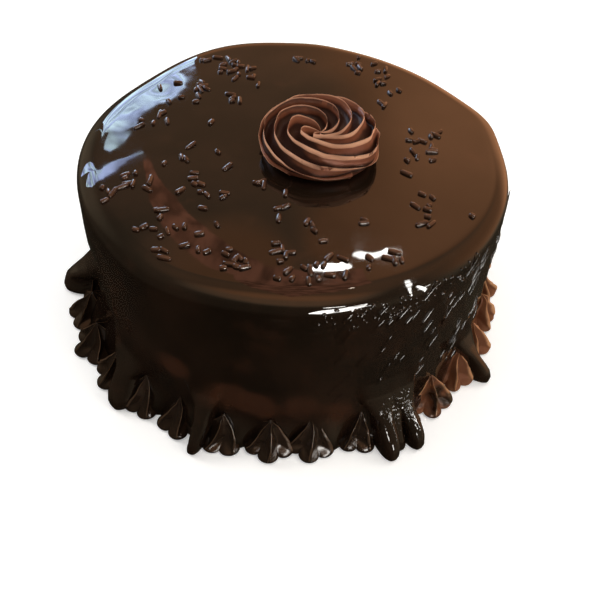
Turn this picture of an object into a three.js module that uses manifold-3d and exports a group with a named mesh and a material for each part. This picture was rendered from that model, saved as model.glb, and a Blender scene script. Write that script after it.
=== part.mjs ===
// A round frosted chocolate cake, whole and uncut: a tall layer cake under poured dark glaze,
// chocolate sprinkles in loose clumps on its top, a piped rosette in the middle of the top, and
// a border of piped stars round its foot, with a few runs of glaze that came down over the stars.
// Millimetres, +Z up. Angles are degrees, counter-clockwise from +X seen from above; the front
// of the cake faces -Y. The origin is under the middle of the whole cake, on what it stands on.

import * as THREE from "three";
import { mergeVertices } from "three/addons/utils/BufferGeometryUtils.js";
import Module from "manifold-3d";

// ---------------------------------------------------------------- driving dimensions

const CAKE_RADIUS = 107.5; // with frosting and glaze, half way up the side
const CAKE_HEIGHT = 100; // to the flat of the top
const RIM_RADIUS = 8.5; // the rounding between side and top
const FOOT_FLARE = 2.5; // how much the glaze thickens the side down at the foot
const TOP_SAG = 1.2; // how much lower the top lies beside the rim than in the middle
const GAP = 0.3; // kept between pieces that touch
const SNAP = 0.01; // vertices lie on a grid this fine, so that no sliver is thinner

const ROSETTE = { x: 12, y: -4, radius: 30, height: 15.5, petals: 6, turn: 230, tail: -38, step: 0.09 };

const STAR = { count: 31, radius: 12.4, height: 21.5, blades: 6, circle: 110.5, groove: 0.27 };
const FIRST_STAR = -82.4; // angle of star_01, the one that faces the front

const SPRINKLE = { radius: 1.15, shortest: 2.6, longest: 6.6, least: 3.75, lift: 0.4 };

// ---------------------------------------------------------------- what is uneven, by hand

// The outline seen from above is not a true circle: how far it stands out (or in) at an angle.
const OUTLINE = [
  { at: 146, by: -3, wide: 18 },
  { at: 112, by: 3.6, wide: 18 },
  { at: 84, by: 1.5, wide: 9 },
  { at: 18, by: 2.8, wide: 9 },
  { at: 50, by: -1.8, wide: 26 },
  { at: -124, by: 2.6, wide: 13 },
  { at: -92, by: -1, wide: 16 },
];

// Where the border stands further out, with larger stars: angle, how far, and over how much.
const BORDER_OUT = [
  { at: -157, by: 4.4, wide: 21 },
  { at: 4, by: 2.2, wide: 9 },
];

// Runs of glaze over the stars: angle, how far out the run ends, its width and its thickness.
const RUNS = [
  { at: -175, out: 131, width: 16, thick: 7 },
  { at: -134, out: 127, width: 15, thick: 7 },
  { at: -110.5, out: 126, width: 9.5, thick: 8 },
  { at: -65.5, out: 129.5, width: 10, thick: 9 },
  { at: -59.5, out: 130, width: 9.5, thick: 9 },
  { at: -33, out: 127, width: 10, thick: 8 },
  { at: 38, out: 126, width: 12, thick: 8 },
  { at: 108, out: 127, width: 11, thick: 8 },
];

// Clumps of sprinkles: middle, size along and across, turn of the clump, number of sprinkles.
const CLUMPS = [
  { x: -34, y: 68, along: 46, across: 15, turn: -38, count: 22 },
  { x: -53, y: 47, along: 20, across: 6, turn: 65, count: 5 },
  { x: -34, y: 38, along: 9, across: 8, turn: 0, count: 5 },
  { x: 0, y: 78, along: 18, across: 10, turn: 40, count: 4 },
  { x: 41, y: 64, along: 56, across: 30, turn: 108, count: 20 },
  { x: 65, y: -4, along: 58, across: 27, turn: 80, count: 17 },
  { x: 61, y: -45, along: 32, across: 10, turn: 75, count: 8 },
  { x: 14, y: -88, along: 22, across: 13, turn: 40, count: 13 },
  { x: 37, y: -81, along: 24, across: 10, turn: 25, count: 6 },
  { x: 10, y: -63, along: 19, across: 10, turn: 110, count: 6 },
  { x: 31, y: -56, along: 9, across: 6, turn: 50, count: 3 },
  { x: -24, y: -86, along: 17, across: 11, turn: 115, count: 12 },
  { x: -6, y: -84, along: 24, across: 11, turn: 85, count: 10 },
  { x: -52, y: -70, along: 44, across: 24, turn: -40, count: 15 },
  { x: -78, y: -36, along: 30, across: 17, turn: 35, count: 15 },
  { x: -72, y: 20, along: 50, across: 14, turn: 70, count: 8 },
  { x: -46, y: -34, along: 56, across: 26, turn: 95, count: 9 },
  { x: -3, y: -44, along: 22, across: 5, turn: 75, count: 6 },
  { x: -14, y: -33, along: 9, across: 5, turn: 20, count: 2 },
  { x: 82, y: -48, along: 3, across: 3, turn: 0, count: 1 },
];

// ---------------------------------------------------------------- small helpers

const wasm = await Module();
wasm.setup();

const radians = THREE.MathUtils.degToRad;
const { lerp, smoothstep } = THREE.MathUtils;

/** A repeatable stream of numbers from 0 to 1, the same for the same seed. */
function seededDraws(seed) {
  let state = seed;
  return () => {
    state = (state * 16807) % 2147483647;
    return state / 2147483647;
  };
}

/** The signed angle from b to a in degrees, between -180 and 180. */
function angleBetween(a, b) {
  return ((((a - b + 180) % 360) + 360) % 360) - 180;
}

/** A closed geometry as a solid: its positions alone, snapped to the grid and merged. */
function toSolid(geometry) {
  const bare = new THREE.BufferGeometry();
  bare.setAttribute("position", geometry.attributes.position);
  bare.setIndex(geometry.index);
  const joined = mergeVertices(bare, SNAP / 100);
  const place = joined.attributes.position.array;
  place.forEach((value, i) => {
    place[i] = Math.round(value / SNAP) * SNAP;
  });
  const snapped = mergeVertices(joined, SNAP / 2);
  const vertProperties = new Float32Array(snapped.attributes.position.array);
  const triVerts = new Uint32Array(soundFaces(snapped.index.array).flat());
  return new wasm.Manifold(new wasm.Mesh({ numProp: 3, vertProperties, triVerts }));
}

/** The faces without those that snapping made a line, or laid back to back on another. */
function soundFaces(corners) {
  const faces = new Map();
  for (let i = 0; i < corners.length; i += 3) {
    const face = [corners[i], corners[i + 1], corners[i + 2]];
    const key = face.toSorted((a, b) => a - b).join();
    if (faces.has(key)) {
      faces.delete(key);
    } else if (new Set(face).size === 3) {
      faces.set(key, face);
    }
  }
  return [...faces.values()];
}

/** A solid back as a geometry. */
function toGeometry(solid) {
  const mesh = solid.getMesh();
  const geometry = new THREE.BufferGeometry();
  geometry.setAttribute("position", new THREE.BufferAttribute(mesh.vertProperties, 3));
  geometry.setIndex(new THREE.BufferAttribute(mesh.triVerts, 1));
  geometry.computeVertexNormals();
  return geometry;
}

/** The largest body of a solid: a cut can leave loose scraps and hair-thin necks, which go. */
function largestBody(solid) {
  const largest = (bodies) => bodies.reduce((a, b) => (b.volume() > a.volume() ? b : a));
  return largest(toSolid(toGeometry(largest(solid.decompose()))).decompose());
}

/** A turned body about +Z from a profile of [radius, height] pairs, from the axis to the axis. */
function turned(profile, segments) {
  const points = profile.map(([radius, height]) => new THREE.Vector2(radius, height));
  return new THREE.LatheGeometry(points, segments).rotateX(Math.PI / 2);
}

/** Moves each vertex of a geometry by a function of its place. */
function reshape(geometry, move) {
  const place = geometry.attributes.position;
  const point = new THREE.Vector3();
  for (let i = 0; i < place.count; i += 1) {
    point.fromBufferAttribute(place, i);
    move(point);
    place.setXYZ(i, point.x, point.y, point.z);
  }
  return geometry;
}

// ---------------------------------------------------------------- the glazed cake

/** How far a list of soft bumps stands out at an angle. */
function bumpsAt(bumps, angle) {
  return bumps.reduce((sum, bump) => {
    const off = angleBetween(angle, bump.at) / bump.wide;
    return sum + bump.by * Math.exp(-off * off);
  }, 0);
}

/** How far the outline stands out from a true circle at an angle: most at the top of the side. */
function outlineAt(angle, z) {
  return lerp(0.45, 1, z / CAKE_HEIGHT) * bumpsAt(OUTLINE, angle);
}

/** The height of the cake's top at a place: flat in the middle, a little lower to the rim. */
function topHeight(x, y) {
  const share = smoothstep(Math.hypot(x, y), 0.4 * CAKE_RADIUS, CAKE_RADIUS);
  return CAKE_HEIGHT - TOP_SAG * share;
}

/** The bare body: flat below, slightly flared at the foot, with a rounded rim. */
function cakeBody(grow) {
  const rim = [0, 1, 2, 3, 4].map((step) => {
    const turn = (step / 4) * (Math.PI / 2);
    const radius = CAKE_RADIUS - RIM_RADIUS + RIM_RADIUS * Math.cos(turn);
    return [radius, CAKE_HEIGHT - RIM_RADIUS + RIM_RADIUS * Math.sin(turn)];
  });
  const side = [0, 10, 26, 52, 74].map((z) => {
    return [CAKE_RADIUS + FOOT_FLARE * (1 - z / CAKE_HEIGHT) ** 2, z];
  });
  const top = [0.82, 0.62, 0.36].map((share) => [CAKE_RADIUS * share, CAKE_HEIGHT]);
  const profile = [[0, 0], ...side, ...rim, ...top, [0, CAKE_HEIGHT]];
  return reshape(turned(profile, 60), (p) => {
    const radius = Math.hypot(p.x, p.y);
    if (p.z > CAKE_HEIGHT - RIM_RADIUS + 0.01) {
      p.z += topHeight(p.x, p.y) - CAKE_HEIGHT;
    }
    if (radius < 1) {
      return;
    }
    const share = smoothstep(radius, 0.5 * CAKE_RADIUS, CAKE_RADIUS);
    const angle = THREE.MathUtils.radToDeg(Math.atan2(p.y, p.x));
    const scale = (radius + share * outlineAt(angle, p.z) + grow) / radius;
    p.x *= scale;
    p.y *= scale;
  });
}

/** One run of glaze: a rounded tongue from the side out over the stars and down to the foot. */
function glazeRun(run, grow) {
  const wall = CAKE_RADIUS + outlineAt(run.at, 0.3 * CAKE_HEIGHT);
  const path = new THREE.CatmullRomCurve3([
    new THREE.Vector3(run.out - 0.4 * run.thick, 0, 0.8),
    new THREE.Vector3(run.out - 0.5 * run.thick, 0, 8),
    new THREE.Vector3(lerp(wall, run.out, 0.6), 0, 17),
    new THREE.Vector3(wall + 2.5, 0, 26),
    new THREE.Vector3(wall - 4, 0, 38),
  ]);
  const profile = [[0, 0], [0.7, 0.04], [1, 0.14], [0.94, 0.4], [0.9, 0.7], [0.7, 0.93], [0, 1]];
  const out = new THREE.Vector3();
  const along = new THREE.Vector3();
  const tongue = reshape(turned(profile, 8), (p) => {
    path.getPointAt(THREE.MathUtils.clamp(p.z, 0, 1), out);
    path.getTangentAt(THREE.MathUtils.clamp(p.z, 0, 1), along);
    const across = p.x * (run.width / 2 + grow);
    const over = p.y * (run.thick / 2 + grow);
    p.set(out.x - over * along.z, across, Math.max(out.z + over * along.x, 0));
  });
  return toSolid(tongue.rotateZ(radians(run.at)));
}

/** The sprinkles of one clump, five-sided rods half sunk. Those under the least length are skipped. */
function sprinklesOf(clump, draw, taken) {
  const made = [];
  const clear = ROSETTE.radius + 0.5 * SPRINKLE.longest + 1;
  for (let i = 0; i < clump.count; i += 1) {
    const along = (draw() + draw() - 1) * 0.62 * clump.along;
    const across = (draw() + draw() - 1) * 0.62 * clump.across;
    const length = lerp(SPRINKLE.shortest, SPRINKLE.longest, draw());
    const heading = 360 * draw();
    const rise = 9 * draw();
    const x = clump.x + along * Math.cos(radians(clump.turn)) - across * Math.sin(radians(clump.turn));
    const y = clump.y + along * Math.sin(radians(clump.turn)) + across * Math.cos(radians(clump.turn));
    const crowded = taken.some((other) => Math.hypot(other.x - x, other.y - y) < 2);
    const onRosette = Math.hypot(x - ROSETTE.x, y - ROSETTE.y) < clear;
    if (crowded || onRosette || Math.hypot(x, y) > CAKE_RADIUS - RIM_RADIUS) {
      continue;
    }
    taken.push({ x, y });
    if (length < SPRINKLE.least) {
      continue;
    }
    const rod = new THREE.CapsuleGeometry(SPRINKLE.radius, length - 2 * SPRINKLE.radius, 1, 5);
    rod.rotateZ(Math.PI / 2);
    rod.rotateY(-radians(rise));
    rod.rotateZ(radians(heading));
    rod.translate(x, y, topHeight(x, y) + SPRINKLE.lift);
    made.push(toSolid(rod));
  }
  return made;
}

/** All the sprinkles on the top. */
function allSprinkles() {
  const draw = seededDraws(20417);
  const taken = [];
  return CLUMPS.flatMap((clump) => sprinklesOf(clump, draw, taken));
}

// ---------------------------------------------------------------- the piped rosette

/** One rope of buttercream wound outwards from a hollow middle, its ridges like rose petals. */
function rosette() {
  const { radius, height, petals, turn, tail, step } = ROSETTE;
  const profile = [
    [0, 0],
    [0.84, 0],
    [0.97, 0.16],
    [1, 0.4],
    [0.97, 0.62],
    [0.88, 0.82],
    [0.76, 0.95],
    [0.62, 1],
    [0.47, 0.96],
    [0.32, 0.82],
    [0.18, 0.62],
    [0, 0.5],
  ];
  const swirl = turned(profile.map(([reach, rise]) => [reach * radius, rise * height]), 7 * petals);
  reshape(swirl, (p) => {
    const reach = Math.hypot(p.x, p.y) / radius;
    if (reach < 0.05 || p.z < 0.01) {
      return;
    }
    const angle = Math.atan2(p.y, p.x);
    const sinceTail = (THREE.MathUtils.radToDeg(angle) - tail + 720) % 360;
    const wave = 0.5 + 0.5 * Math.cos(petals * (angle - radians(turn) * reach));
    const crest = wave ** 1.5 - 0.35;
    const side = smoothstep(reach, 0.72, 1);
    const outward = (1 + 0.07 * crest * side) * (1 + step * (sinceTail / 360 - 0.8));
    p.x *= outward;
    p.y *= outward;
    p.z = Math.max(p.z + 0.24 * height * crest * (1 - 0.7 * side), 0.6);
  });
  return swirl.translate(ROSETTE.x, ROSETTE.y, CAKE_HEIGHT + GAP);
}

// ---------------------------------------------------------------- the border of piped stars

/** Where each star stands and how it differs from the next, by seeded draws. */
function starPlaces() {
  const draw = seededDraws(3121);
  return Array.from({ length: STAR.count }, (_, i) => {
    const angle = FIRST_STAR + (360 / STAR.count) * i + 1.2 * (draw() - 0.5);
    const further = bumpsAt(BORDER_OUT, angle);
    return {
      name: "star_" + String(i + 1).padStart(2, "0"),
      angle,
      circle: STAR.circle + further + outlineAt(angle, 0) + (draw() - 0.5),
      radius: STAR.radius * (0.97 + 0.07 * draw()) + 0.36 * further,
      height: STAR.height * (0.94 + 0.12 * draw()),
      turn: (360 / STAR.blades) * draw(),
      twist: 10 + 22 * draw(),
      lean: 1.6 * (draw() - 0.3),
    };
  });
}

/** One piped star: blades that rise from rounded lobes at the foot and meet in a small peak. */
function pipedStar(place) {
  const { radius, height } = place;
  const profile = [
    [0, 0],
    [0.93 * radius, 0],
    [radius, 0.2 * height],
    [0.8 * radius, 0.48 * height],
    [0.42 * radius, 0.78 * height],
    [0, height],
  ];
  const star = reshape(turned(profile, 3 * STAR.blades), (p) => {
    const rise = p.z / height;
    const reach = Math.hypot(p.x, p.y);
    if (reach > 0.01) {
      const angle = Math.atan2(p.y, p.x) + radians(place.turn);
      const wave = 0.5 - 0.5 * Math.cos(STAR.blades * angle);
      const depth = STAR.groove * (1 + 0.5 * rise);
      const twisted = angle + radians(place.twist) * rise;
      const shrunk = reach * (1 - depth * wave);
      p.x = shrunk * Math.cos(twisted);
      p.y = shrunk * Math.sin(twisted);
    }
    p.x -= place.lean * rise;
  });
  return toSolid(star.translate(place.circle, 0, 0).rotateZ(radians(place.angle)));
}

/** The slice of space that is one star's own, up to half way to each neighbour. */
function ownSlice(angle, before, after) {
  const near = 80;
  const far = 150;
  const corner = (reach, turn, side) => {
    const x = reach * Math.cos(radians(turn)) - (side * GAP * Math.sin(radians(turn))) / 2;
    const y = reach * Math.sin(radians(turn)) + (side * GAP * Math.cos(radians(turn))) / 2;
    return new THREE.Vector2(x, y);
  };
  const start = angle + before / 2;
  const end = angle + after / 2;
  const corners = [corner(near, start, 1), corner(far, start, 1), corner(far, end, -1), corner(near, end, -1)];
  const slice = new THREE.ExtrudeGeometry(new THREE.Shape(corners), {
    depth: 2 * STAR.height,
    bevelEnabled: false,
  });
  return toSolid(slice.translate(0, 0, -0.5 * STAR.height));
}

/** Each star cut clear of the cake, of the runs of glaze and of its neighbours. */
function allStars(keepClear) {
  const places = starPlaces();
  return places.map((place, i) => {
    const previous = places[(i + places.length - 1) % places.length];
    const next = places[(i + 1) % places.length];
    const before = angleBetween(previous.angle, place.angle);
    const after = angleBetween(next.angle, place.angle);
    const free = pipedStar(place).intersect(ownSlice(place.angle, before, after));
    return { name: place.name, solid: largestBody(free.subtract(keepClear)) };
  });
}

// ---------------------------------------------------------------- the whole cake

const glaze = new THREE.MeshStandardMaterial({ color: 0x24150d, roughness: 0.12, metalness: 0 });
const buttercream = { roughness: 0.55, metalness: 0 };

const bareCake = toSolid(cakeBody(0));
const roomForCake = toSolid(cakeBody(GAP));
const withRuns = RUNS.reduce((sum, run) => sum.add(glazeRun(run, 0)), bareCake);
const roomForAll = RUNS.reduce((sum, run) => sum.add(glazeRun(run, GAP)), roomForCake);
const wholeCake = allSprinkles().reduce((sum, rod) => sum.add(rod), withRuns);

const cake = new THREE.Group();

const body = new THREE.Mesh(toGeometry(largestBody(wholeCake)), glaze);
body.name = "cake";
cake.add(body);

const swirl = new THREE.Mesh(
  rosette(),
  new THREE.MeshStandardMaterial({ color: 0x7a4226, ...buttercream }),
);
swirl.name = "rosette";
cake.add(swirl);

for (const { name, solid } of allStars(roomForAll)) {
  const star = new THREE.Mesh(
    toGeometry(solid),
    new THREE.MeshStandardMaterial({ color: 0x4a2a1b, ...buttercream }),
  );
  star.name = name;
  cake.add(star);
}

// The middle of everything goes over the origin.
const middle = new THREE.Box3().setFromObject(cake).getCenter(new THREE.Vector3());
cake.position.set(-middle.x, -middle.y, 0);

const group = new THREE.Group();
group.add(cake);

export default group;
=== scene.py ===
import math

import bpy
import numpy as np
from mathutils import Matrix, Vector


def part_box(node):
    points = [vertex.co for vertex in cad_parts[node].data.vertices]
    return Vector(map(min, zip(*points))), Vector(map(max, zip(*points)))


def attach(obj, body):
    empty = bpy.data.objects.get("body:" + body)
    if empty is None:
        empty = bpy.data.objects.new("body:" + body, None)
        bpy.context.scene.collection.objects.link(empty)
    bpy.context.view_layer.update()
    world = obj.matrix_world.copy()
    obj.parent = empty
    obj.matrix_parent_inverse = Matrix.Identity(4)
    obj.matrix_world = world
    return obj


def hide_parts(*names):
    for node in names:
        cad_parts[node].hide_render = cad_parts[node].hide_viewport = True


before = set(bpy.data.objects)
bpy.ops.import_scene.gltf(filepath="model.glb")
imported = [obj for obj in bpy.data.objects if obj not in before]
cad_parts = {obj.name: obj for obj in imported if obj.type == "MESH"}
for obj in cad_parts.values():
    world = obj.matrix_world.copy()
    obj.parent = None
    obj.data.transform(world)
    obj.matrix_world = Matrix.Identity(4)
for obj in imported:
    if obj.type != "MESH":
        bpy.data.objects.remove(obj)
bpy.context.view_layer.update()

# ================================================================ the glazed cake
# Tall layers of sponge and frosting, none of which shows, under a dark chocolate glaze that was
# poured over the top while warm. It ran down the side in soft drips that melted into each other,
# left small wrinkles under the rim, and set with a gloss like wet lacquer.

# Lengths are in metres, and angles in degrees, counter-clockwise from +X, with the front at -Y.
MM = 0.001
GAP = 0.3 * MM  # the solids keep this much between pieces that touch
RADIUS = 107.5 * MM
EDGE = 11 * MM  # how far in the glaze starts to fall away towards the side
FLARE = 2.5 * MM  # how much thicker the glaze is at the foot
SAG = 1.2 * MM  # how much lower the top is beside the rim
SWELLS, DRIPS, WRINKLES = 34, 96, 60  # how many of each the glaze set with
FRONT_WRINKLES = 44
SKIRT_OUT, SKIRT_HIGH = 7.5 * MM, 14 * MM  # the glaze in the gap above the border
AROUND = 620  # points in each ring of the mesh
SIDE_RINGS, RIM_RINGS, TOP_RINGS = 100, 22, 32
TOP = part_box("rosette")[0].z - GAP

cake_low, cake_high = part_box("cake")
box_middle = np.array([cake_low.x + cake_high.x, cake_low.y + cake_high.y]) / 2
foot_points = np.array([v.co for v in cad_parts["cake"].data.vertices if v.co.z < 0.01 * MM])
from_middle = np.hypot(*(foot_points[:, :2] - box_middle).T)
AXIS = foot_points[np.argmin(from_middle), :2]  # the middle line of the cake

# Where the outline leaves a true circle: angle, how far it stands out there, and over how much.
OUTLINE = [
    (146, -3 * MM, 18),
    (112, 3.6 * MM, 18),
    (84, 1.5 * MM, 9),
    (18, 2.8 * MM, 9),
    (50, -1.8 * MM, 26),
    (-124, 2.6 * MM, 13),
    (-92, -1 * MM, 16),
]
# Runs of glaze that went on over the border: angle, how far out they end, width and thickness.
RUNS = [
    (-175, 130 * MM, 21 * MM, 7 * MM),
    (-134, 127 * MM, 18 * MM, 7 * MM),
    (-110.5, 126 * MM, 9.5 * MM, 8 * MM),
    (-65.7, 129 * MM, 11.5 * MM, 9 * MM),
    (-62.4, 125.5 * MM, 10 * MM, 9 * MM),
    (-59.2, 129 * MM, 11 * MM, 9 * MM),
    (-33, 127 * MM, 10 * MM, 8 * MM),
    (38, 126 * MM, 12 * MM, 8 * MM),
    (108, 127 * MM, 11 * MM, 8 * MM),
]
# Where the glaze missed the border: angle, how much of it, and over how far.
MISSED = [(-20, 1.15, 32), (60, 0.6, 50)]


def angle_between(a, b):
    """The signed angle from b to a."""
    return (a - b + 180) % 360 - 180


def smooth(value, low, high):
    """0 below low, 1 above high, and a soft step between them."""
    share = np.clip((value - low) / (high - low), 0, 1)
    return share * share * (3 - 2 * share)


def bell(offset, wide):
    """A soft hump, 1 in its middle."""
    return np.exp(-((offset / wide) ** 2))


def bumps_at(bumps, angle):
    """How far a list of soft bumps stands out at an angle."""
    return sum(by * bell(angle_between(angle, at), wide) for at, by, wide in bumps)


def outline_at(angle, z):
    """How far the side stands out from a true circle."""
    return (0.45 + 0.55 * z / TOP) * bumps_at(OUTLINE, angle)


def glazed_share(angle):
    """How much of the border the glaze reached: all at the front and left, little at the right."""
    share = 1
    for at, by, wide in MISSED:
        share = share - by * bell(angle_between(angle, at), wide)
    return np.clip(share, 0, 1)


def draws(seed):
    """The repeatable numbers from 0 to 1 that the solids were scattered with."""
    while True:
        seed = seed * 16807 % 2147483647
        yield seed / 2147483647


def between(draw, low, high):
    """The next draw, stretched from low to high."""
    return low + (high - low) * next(draw)


def poured_swells(x, y):
    """The low waves that the glaze set with on the top, measured from the cake's middle line."""
    draw = draws(5077)
    height = 0
    for _ in range(SWELLS):
        turn = math.radians(between(draw, 0, 360))
        out = RADIUS * math.sqrt(between(draw, 0.05, 0.95))
        wide = between(draw, 9, 26) * MM
        off = np.hypot(x - out * math.cos(turn), y - out * math.sin(turn))
        height = height + between(draw, -0.013, 0.013) * wide * bell(off, wide)
    return height


def top_height(x, y):
    """The height of the glazed top at a place measured from the middle line."""
    return TOP - SAG * smooth(np.hypot(x, y), 0.4 * RADIUS, RADIUS) + poured_swells(x, y)


def drips(angle, z):
    """How far the soft drips on the side stand out: upright, but slanted where the glaze slid."""
    draw = draws(9311)
    out = 0
    for i in range(DRIPS):
        at = (360 / DRIPS) * (i + between(draw, -0.5, 0.5))
        right_side = float(bell(angle_between(at, -38), 30))
        slant = between(draw, -3, 3) / TOP - 34 * right_side / TOP
        wide = between(draw, 1.6, 4.2) * (1 - 0.4 * right_side)
        low = TOP * between(draw, 0.02, 0.6)
        high = TOP * between(draw, 0.7, 0.95)
        proud = between(draw, 0.1, 0.65) * MM * (1 + 0.5 * right_side)
        line = bell(angle_between(angle, at + slant * (z - high)), wide)
        out = out + proud * line * smooth(z, low, low + 5 * MM) * (1 - smooth(z, high - 22 * MM, high))
    return out


def wrinkles(angle, z):
    """The beads and folds of glaze that bunched up just under the rim."""
    draw = draws(733)
    out = 0
    for i in range(WRINKLES):
        at = between(draw, -96, -36) if i < FRONT_WRINKLES else between(draw, 0, 360)
        low = TOP * between(draw, 0.76, 0.9)
        wide = between(draw, 0.9, 3.2)
        tall = between(draw, 0.8, 2) * MM
        tilt = between(draw, -0.25, 0.4) * MM
        off = angle_between(angle, at)
        out = out + between(draw, -0.35, 0.8) * MM * bell(off, wide) * bell(z - low - tilt * off, tall)
    return out


def closed_mesh(name, rings, low_pole, high_pole):
    """A mesh from rings of points, each ring a loop, closed by a pole at either end."""
    count, around = rings.shape[:2]
    points = np.concatenate([rings.reshape(-1, 3), [low_pole, high_pole]])
    here = np.arange(around)
    after = (here + 1) % around
    faces = []
    for i in range(count - 1):
        low, high = i * around, (i + 1) * around
        faces += np.stack([low + here, low + after, high + after, high + here], 1).tolist()
    low_end, high_end, last = count * around, count * around + 1, (count - 1) * around
    faces += [(low_end, b, a) for a, b in zip(here.tolist(), after.tolist())]
    faces += [(high_end, last + a, last + b) for a, b in zip(here.tolist(), after.tolist())]
    mesh = bpy.data.meshes.new(name)
    mesh.from_pydata(points.tolist(), [], faces)
    mesh.shade_smooth()
    return mesh


def piece(name, mesh, slot, *nodes):
    """Puts a finished mesh in the scene, as the piece that stands for these nodes."""
    made = bpy.data.objects.new(name, mesh)
    bpy.context.collection.objects.link(made)
    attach(made, "root")
    if nodes:
        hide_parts(*nodes)
    return made


def run_over_border(angle, z, wall, at, out, width, thick):
    """How far one run of glaze stands out from the wall: over the stars and down to a bead."""
    proud = out - wall
    heights = np.array([0, 1.2, 4, 8, 12, 17, 23, 30, 40]) * MM
    reach = wall + proud * np.array([0.93, 1.0, 1.02, 0.96, 0.82, 0.58, 0.33, 0.13, 0])
    levels = np.array([0, 3, 7, 12, 18, 26, 40]) * MM
    spread = np.array([0.9, 1.02, 1.0, 0.95, 1.1, 1.7, 2.6])
    half = np.interp(z, levels, spread * width / 2)
    half = half + 0.05 * width * np.sin(z / (2.6 * MM) + at)
    sway = 0.12 * width * np.sin(z / (8 * MM) + at)
    off = np.abs(np.radians(angle_between(angle, at)) * out + sway) / half
    across = np.clip(1 - off**3.2, 0, 1) ** 0.5
    return (np.interp(z, heights, reach) - wall) * across


def soaked_foot(angle, z):
    """The glaze that filled the gap between the side and the stars, in a soft uneven skirt."""
    waves = 0.75 + 0.25 * np.sin(np.radians(angle) * 31 + 0.6) + 0.15 * np.sin(np.radians(angle) * 13)
    return SKIRT_OUT * glazed_share(angle) * waves * bell(z, SKIRT_HIGH)


# Where the glaze gathered in tiny beads and bubbles: angle, height, and over how much of each.
FROTH = [
    (-74, 90 * MM, 2.5, 3 * MM),
    (-69, 92 * MM, 2, 2 * MM),
    (-62, 87 * MM, 5, 3.5 * MM),
    (-61, 23 * MM, 4.5, 6 * MM),
    (-51, 12 * MM, 3, 7 * MM),
    (-84, 17 * MM, 2, 3.5 * MM),
    (-104, 22 * MM, 2, 3.5 * MM),
    (-112, 9 * MM, 2.5, 6 * MM),
]


def froth(angle, z):
    """How bubbly the glaze is at each place, from 0 to 1."""
    share = 0
    for at, height, wide, tall in FROTH:
        share = share + bell(angle_between(angle, at), wide) * bell(z - height, tall)
    return np.clip(share, 0, 1)


def glazed_cake():
    """The whole body, ring by ring from the middle of the base to the middle of the top."""
    even = np.linspace(-180, 180, 3601)
    # The points stand closer at the front right and at the runs.
    density = 1 + 1.2 * bell(angle_between(even, -45), 28)
    density = density + 2.2 * sum(bell(angle_between(even, run[0]), 5.5) for run in RUNS)
    so_far = np.concatenate([[0], np.cumsum((density[1:] + density[:-1]) / 2)])
    angle = np.interp(np.linspace(0, so_far[-1], AROUND, endpoint=False), so_far, even)[None, :]
    base = [(RADIUS * share, 0) for share in (0.3, 0.6, 0.85, 0.96)]
    climb = (TOP - EDGE) * np.linspace(0, 1, SIDE_RINGS, endpoint=False) ** 1.35
    side = [(RADIUS + FLARE * (1 - z / TOP) ** 2, z) for z in climb]
    shares = np.linspace(0, 1, RIM_RINGS)
    rim = [(RADIUS - EDGE * share**2, TOP - EDGE * (1 - share) ** 2) for share in shares]
    top = [((RADIUS - EDGE) * share, TOP) for share in np.linspace(1, 0.03, TOP_RINGS)[1:]]
    radius, z = np.array([*base, *side, *rim, *top]).T[:, :, None]
    beside = radius > RADIUS - EDGE  # the side, the rim and the outer ring of the base
    lean = smooth(radius, RADIUS - EDGE, RADIUS) * beside
    out = (drips(angle, z) + wrinkles(angle, z)) * lean * smooth(z, 0, 3 * MM)
    skirt = soaked_foot(angle, z)
    for at, *size in RUNS:
        wall = RADIUS + float(outline_at(at, 0.3 * TOP))
        skirt = np.maximum(skirt, run_over_border(angle, z, wall, at, *size))
    out = out + np.where(beside, skirt, 0)
    share = smooth(radius, 0.5 * RADIUS, RADIUS)
    reach = radius + share * outline_at(angle, z) + out
    x = reach * np.cos(np.radians(angle))
    y = reach * np.sin(np.radians(angle))
    height = z + smooth(z, TOP - EDGE, TOP) * (top_height(x, y) - TOP)
    rings = np.stack([x + AXIS[0], y + AXIS[1], height * np.ones_like(x)], 2)
    mesh = closed_mesh("glazed_cake", rings, (*AXIS, 0), (*AXIS, top_height(0, 0)))
    bubbly = (froth(angle, z) * beside).ravel().tolist() + [0.0, 0.0]
    mesh.attributes.new("froth", "FLOAT", "POINT").data.foreach_set("value", bubbly)
    return mesh


def both_ways(operation):
    """An operator of the class below and its reflected form, each of which adds a Math node."""
    return (
        lambda wire, term: wire.math(operation, wire, term),
        lambda wire, term: wire.math(operation, term, wire),
    )


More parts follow.
